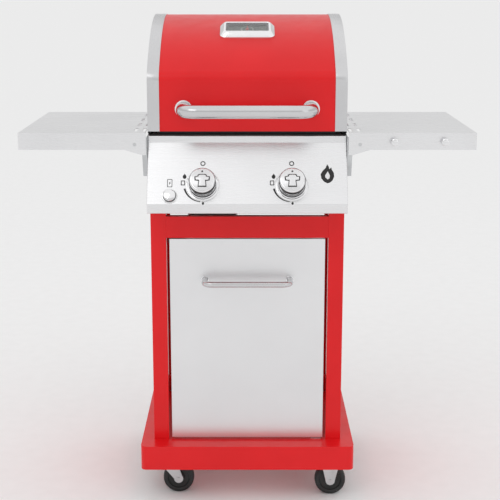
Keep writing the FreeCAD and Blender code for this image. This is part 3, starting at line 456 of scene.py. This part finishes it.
def knob_face(label):
    """The stepped bezel, the knob with its grip, and the printed scale round it."""
    joint = JOINTS[f"{label}_valve_turn"]
    seat = facing(joint["pos_m"], joint["axis"])
    ring = lathe(f"{label}_knob_ring",
                 [(30, 0), (37.5, 0), (37.5, 0.8), (36.6, 1.8), (35, 2.0), (34.2, 1.3), (32.6, 1.3),
                                        (31.6, 2.4), (30.4, 2.4), (30, 1.8)], seat)
    piece(f"{label}_knob_ring", ring, CHROME, "cart", "chrome",
          *(["control_bezels"] if label == "left" else []))
    well = lathe(f"{label}_knob_well", [(8, 0), (30.2, 0), (30.2, 0.7), (8, 0.7)], seat)
    piece(f"{label}_knob_well", well, INK_AND_SHADE, "cart", "black_plastic")
    body = f"{label}_knob"
    skirt = lathe(f"{label}_knob_skirt",
                  [(8, 6.5), (28.6, 6.5), (29.6, 7.2), (30, 8.4), (30, 10.2), (29.1, 10.8),
                                          (29.1, 12.2), (29.9, 12.8), (29.9, 20.6), (29.1, 21.2),
                                          (29.1, 22.6),
                                          (29.9, 23.2), (29.4, 29.4), (28.7, 31.8), (27.2, 33.5),
                                          (25.2, 34.2),
                                          (8, 34.2)], seat)
    piece(f"{label}_knob_skirt", skirt, CHROME, body, "chrome", f"{label}_knob")
    for place, (level, width) in enumerate(((11.2, 5.6), (19.4, 11.0))):
        groove = lathe(f"{label}_knob_groove_{place}",
                       [(28.6, level), (30, level + 0.2), (29.8, level + width - 0.2),
                                                        (28.6, level + width)], seat)
        piece(f"{label}_knob_groove_{place}", groove, INK_AND_SHADE, body, "black_plastic")
    cap = lathe(f"{label}_knob_cap", [(0, 34), (24.6, 34), (24.6, 34.6), (23.8, 35.1), (0, 35.4)], seat)
    piece(f"{label}_knob_cap", cap, PEARL, body, "chrome")
    outline = [(-8, -15), (8, -15), (6.6, -1.5), (14.5, -0.5), (15, 5.5), (8.6, 6.5), (8, 9.5), (4.5, 11),
               (-4.5, 11),
               (-8, 9.5), (-8.6, 6.5), (-15, 5.5), (-14.5, -0.5), (-6.6, -1.5)]
    grown, margin = 1.05, 1.5
    rim = [(x * grown + math.copysign(margin, x), y * grown + math.copysign(margin, y)) for x, y in outline]
    edge = prism(f"{label}_grip_line", rim, 35, 35.8, seat)
    piece(f"{label}_grip_line", edge, INK_AND_SHADE, body, "black_plastic")
    grip = prism(f"{label}_grip", outline, 35, 38, seat, 1.2)
    piece(f"{label}_grip", grip, PEARL, body, "chrome")
    dot = lathe(f"{label}_pointer", [(0, 35), (2, 35), (2, 35.6), (0, 35.7)], moved(seat, 0, 19.5), 24)
    piece(f"{label}_pointer", dot, INK_AND_SHADE, body, "black_plastic")
    off = lathe(f"{label}_off_mark", [(3.6, 0), (5.8, 0), (5.8, MARK_RISE), (3.6, MARK_RISE)],
                moved(seat, 0, 51.5), 40)
    piece(f"{label}_off_mark", off, INK_AND_SHADE, "cart", "black_plastic")
    sign(f"{label}_turn_band", ring_points(39.2, 43.6, 262, 192), 1, seat)
    sign(f"{label}_high_flame", FLAME, 13, moved(seat, -41, 21))
    sign(f"{label}_low_flame", FLAME, 8, moved(seat, 1, -43))
    cell = loft(f"{label}_spark_box", [(4.8, 5.8, 0.9, 0), (4.8, 5.8, 0.9, MARK_RISE),
                                       (2.9, 3.9, 0.5, MARK_RISE), (2.9, 3.9, 0.5, 0)],
                                       moved(seat, -44.4, 5))
    piece(f"{label}_spark_box", cell, INK_AND_SHADE, "cart", "black_plastic")


def igniter():
    """The push button in its ring, seated from the box of the tilted CAD button, and its printed sign."""
    low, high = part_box("igniter_button")
    axis = Vector(JOINTS["left_valve_turn"]["axis"])
    reach, radius = 9.5 * MM, (high.x - low.x) / 2
    seat = facing(((low.x + high.x) / 2, low.y - reach * axis.y + radius * axis.z,
                   high.z - reach * axis.z + radius * axis.y), axis)
    ring = lathe("igniter_ring",
                 [(14.1, 0), (17.5, 0), (17.5, 1.2), (16.6, 2.6), (15.2, 2.9), (14.1, 2.2)], seat)
    piece("igniter_ring", ring, CHROME, "cart", "chrome")
    button = lathe("igniter_cap", [(0, 1.6), (13.4, 1.6), (13.5, 2.2), (13.5, 7.6), (12.9, 8.8), (11.4, 9.5),
                                   (6, 9.9), (0, 10)], seat)
    piece("igniter_cap", button, CHROME, "igniter_button", "chrome", "igniter_button")
    band = lathe("igniter_band", [(13.2, 2.4), (13.65, 2.6), (13.65, 6.2), (13.2, 6.4)], seat)
    piece("igniter_band", band, INK_AND_SHADE, "igniter_button", "black_plastic")
    cell = loft("igniter_sign", [(5.8, 9.5, 1.6, 0), (5.8, 9.5, 1.6, MARK_RISE), (4.4, 8.1, 1.0, MARK_RISE),
                                 (4.4, 8.1, 1.0, 0)], moved(seat, 0, 31))
    piece("igniter_sign", cell, INK_AND_SHADE, "cart", "black_plastic")
    bolt = [(-0.2, -0.5), (0.25, 0.08), (0.03, 0.08), (0.2, 0.5), (-0.25, -0.02), (-0.02, -0.02)]
    sign("igniter_bolt", bolt, 10, moved(seat, 0, 31))


def flame_sign():
    """A plain flame at the right end of the panel, a little above the knobs' centres."""
    joint = JOINTS["right_valve_turn"]
    seat = facing(joint["pos_m"], joint["axis"])
    place = moved(seat, 80, 27)
    sign("flame_outer", FLAME, 46, place)
    sign("flame_inner", FLAME_CORE, 36, place, PEARL, 0.05, 0.24)


# ---------------------------------------------------------------- lid gauge

def thermometer():
    """Faceted bezel with a printed scale behind glass."""
    joint = JOINTS["needle_turn"]
    seat = facing(joint["pos_m"], joint["axis"])
    low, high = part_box("thermometer_bezel")
    half_x, half_y = (high.x - low.x) / 2 / MM, 36.0
    rings = [(half_x, half_y, 13, -2), (half_x, half_y, 13, 2), (half_x - 1, half_y - 1, 12.4, 3.2),
             (half_x - 8, half_y - 8, 9, 11.5), (half_x - 9.5, half_y - 9.5, 8, 12.6),
             (half_x - 11.5, half_y - 11.5, 6, 13), (half_x - 13, half_y - 13, 4, 12.6),
             (half_x - 14, half_y - 14, 3, 11.5), (half_x - 14, half_y - 14, 3, -1)]
    piece("gauge_bezel", loft("gauge_bezel", rings, seat), CHROME, "lid", "chrome", "thermometer_bezel")
    liner = [(half_x - 14, half_y - 14, 2, 3), (half_x - 14, half_y - 14, 2, 8),
             (half_x - 19, half_y - 18, 2, 8),
             (half_x - 19, half_y - 18, 2, 3)]
    piece("gauge_liner", loft("gauge_liner", liner, seat), PLASTIC, "lid", "chrome")
    marks = bmesh.new()
    rim, half, level = 15.5, 0.3, 3.02
    for step in range(25):
        angle = math.radians(-30 + 10 * step)
        reach = 2.6 if step % 4 else 4.2
        corners = [(rim - reach, -half), (rim, -half), (rim, half), (rim - reach, half)]
        face = marks.faces.new([marks.verts.new((x, y, level)) for x, y in turned_round(corners, angle)])
        grown = bmesh.ops.extrude_face_region(marks, geom=[face])
        top = [item for item in grown["geom"] if isinstance(item, bmesh.types.BMVert)]
        bmesh.ops.translate(marks, verts=top, vec=(0, 0, 0.15))
    piece("gauge_marks", mesh_from("gauge_marks", marks, seat), CERAMIC, "lid", "dial_print")
    piece("gauge_band", prism("gauge_band", ring_points(16.5, 18.0, 60, 150), level, 3.2, seat), GREEN,
          "lid",
          "dial_print")


# ---------------------------------------------------------------- casters and small parts

def wheels():
    """Moulded wheels: treaded tyre, dished web and a raised hub."""
    for name in ("front_left_wheel", "front_right_wheel", "rear_left_wheel", "rear_right_wheel"):
        low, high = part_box(name)
        centre = (Vector(low) + Vector(high)) / 2
        radius = (high.z - low.z) / 2 / MM
        seat = facing(centre, (0, -1, 0))
        half = 12.0
        side = [(5, -14), (13, -14), (14, -13.2), (14.5, -8.5), (25.5, -8.5), (26.5, -11.4), (28, -12),
                (radius - 4, -half), (radius - 1.6, -half + 1), (radius - 0.4, -half + 3.2)]
        tread = [(radius - 0.4, -4.4), (radius - 1.1, -4), (radius - 1.1, -3), (radius, -2.6)]
        profile = side + tread + [(r, -z) for r, z in reversed(tread)] + [(r, -z) for r, z in reversed(side)]
        piece(f"{name}_tyre", lathe(f"{name}_tyre", profile, seat), RUBBER, name, "black_rubber", name)


def hooks():
    """Chrome pegs with domed heads on the right shelf's front."""
    low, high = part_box("tool_hooks")
    height = (low.z + high.z) / 2
    head = (high.z - low.z) / 2 / MM
    for place, across in enumerate((low.x + head * MM, high.x - head * MM)):
        seat = facing((across, high.y, height), (0, -1, 0))
        profile = [(0, 0), (5.5, 0), (5.5, 1), (4, 1.6), (3.6, 5), (3.6, 11), (4.4, 12), (head - 0.6, 12),
                   (head, 12.8), (head, 14), (head - 1.4, 15.3), (head - 4, 15.9), (0, 16)]
        extra = [] if place else ["tool_hooks"]
        piece(f"tool_peg_{place}", lathe(f"tool_peg_{place}", profile, seat, 48), CHROME, "right_shelf",
              "chrome",
              *extra)


def cross_screw(name, seat, radius, body, *replaced):
    """A pan-head screw whose cross recess is drawn as a black cross on the head, painted shade."""
    dome = lathe(name, [(0, 0), (radius, 0), (radius, 0.5), (radius * 0.86, 1.35), (radius * 0.5, 1.9),
                        (0, 2)],
                 seat, 32)
    piece(name, dome, ZINC, body, "zinc", *replaced)
    # The black cross below is painted shade: it stands in for the dark inside of the recess, not for a black
    # part.
    arm, wide = radius * 0.5, radius * 0.13
    cross = [(-wide, -arm), (wide, -arm), (wide, -wide), (arm, -wide), (arm, wide), (wide, wide),
             (wide, arm),
             (-wide, arm), (-wide, wide), (-arm, wide), (-arm, -wide), (-wide, -wide)]
    piece(f"{name}_recess_painted_shade", prism(f"{name}_recess_painted_shade", cross, 1.4, 2.03, seat), INK_AND_SHADE, body, "black_plastic")


def screws():
    """Screws low on each side of the cart and on the web of each shelf bracket."""
    low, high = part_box("cart_screws")
    radius = (high.z - low.z) / 2 / MM
    web_low, web_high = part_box("right_shelf_bracket")
    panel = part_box("right_side_panel")[1].x
    for side, sign_x in (("left", -1), ("right", 1)):
        for place, depth in enumerate((low.y + radius * MM, high.y - radius * MM)):
            seat = facing_side((sign_x * panel, depth, low.z + radius * MM), sign_x)
            extra = ["cart_screws"] if (side, place) == ("left", 0) else []
            cross_screw(f"foot_screw_{side}_{place}", seat, radius, "cart", *extra)
            seat = facing_side((sign_x * (panel + 0.002), depth, web_low.z + 0.03), sign_x)
            cross_screw(f"bracket_screw_{side}_{place}", seat, 4.5, "cart")


# ---------------------------------------------------------------- camera, light and floor

FLOOR_SIZE = 400  # metres, so that no edge shows


def floor():
    bpy.ops.mesh.primitive_plane_add(size=FLOOR_SIZE, location=(0, 0, 0))
    ground = bpy.context.object
    ground.name = "floor"
    paper = dull("pale_floor", (0.93, 0.93, 0.93), (0.95, 0.95, 0.95), 0.85, 0.95, 60, 0.01)
    shader = paper.node_tree.nodes["Principled BSDF"]
    shader.inputs["Specular IOR Level"].default_value = 0.0
    ground.data.materials.append(paper)


def area_light(name, position, target, size, power):
    light = bpy.data.lights.new(name, "AREA")
    light.shape = "RECTANGLE"
    light.size, light.size_y = size
    light.energy = power
    item = bpy.data.objects.new(name, light)
    item.location = position
    item.rotation_euler = (Vector(target) - Vector(position)).to_track_quat("-Z", "Y").to_euler()
    bpy.context.collection.objects.link(item)


# Grey levels of the studio's walls and ceiling, by the sine of the height angle.
# The dimmer band in the middle gives the steel its shading.
SKY = ((0.08, 0.95), (0.15, 0.7), (0.45, 0.66), (0.62, 0.98))
HORIZON, ZENITH = 0.98, 0.95


def grey(level):
    return (level, level, level, 1)


def lighting():
    world = bpy.data.worlds.new("studio")
    world.use_nodes = True
    bpy.context.scene.world = world
    tree = world.node_tree
    background = tree.nodes["Background"]
    points = tree.nodes.new("ShaderNodeTexCoord")
    split = tree.nodes.new("ShaderNodeSeparateXYZ")
    ramp = tree.nodes.new("ShaderNodeValToRGB")
    stops = ramp.color_ramp.elements
    stops[0].position, stops[0].color = 0.0, grey(HORIZON)
    stops[1].position, stops[1].color = 1.0, grey(ZENITH)
    for position, level in SKY:
        stops.new(position).color = grey(level)
    tree.links.new(points.outputs["Generated"], split.inputs["Vector"])
    tree.links.new(split.outputs["Z"], ramp.inputs["Fac"])
    tree.links.new(ramp.outputs["Color"], background.inputs["Color"])
    background.inputs["Strength"].default_value = 1.0
    area_light("key", (-1.6, -2.6, 3.2), (0, 0, 0.7), (2.2, 1.6), 8)
    area_light("fill", (2.2, -2.4, 2.0), (0, 0, 0.7), (1.8, 1.8), 3)
    bpy.context.scene.view_settings.view_transform = "Standard"


CAMERA_LENS, CAMERA_SHIFT, CAMERA_PITCH = 84.5, 0.0054, 77
CAMERA_DISTANCE, CAMERA_RISE = 2.5523, 0.0835  # metres in front of the part and above it


def camera():
    """A long lens a little above the lid, level across and pitched down."""
    low, high = cad_bounds
    settings = bpy.data.cameras.new("camera")
    settings.lens = CAMERA_LENS
    settings.shift_x = CAMERA_SHIFT
    item = bpy.data.objects.new("camera", settings)
    item.location = ((low[0] + high[0]) / 2, low[1] - CAMERA_DISTANCE, high[2] + CAMERA_RISE)
    item.rotation_euler = (math.radians(CAMERA_PITCH), 0, 0)
    bpy.context.collection.objects.link(item)
    bpy.context.scene.camera = item


dress_cad()
control_panel()
knob_face("left")
knob_face("right")
igniter()
flame_sign()
thermometer()
wheels()
hooks()
screws()
floor()
lighting()
camera()
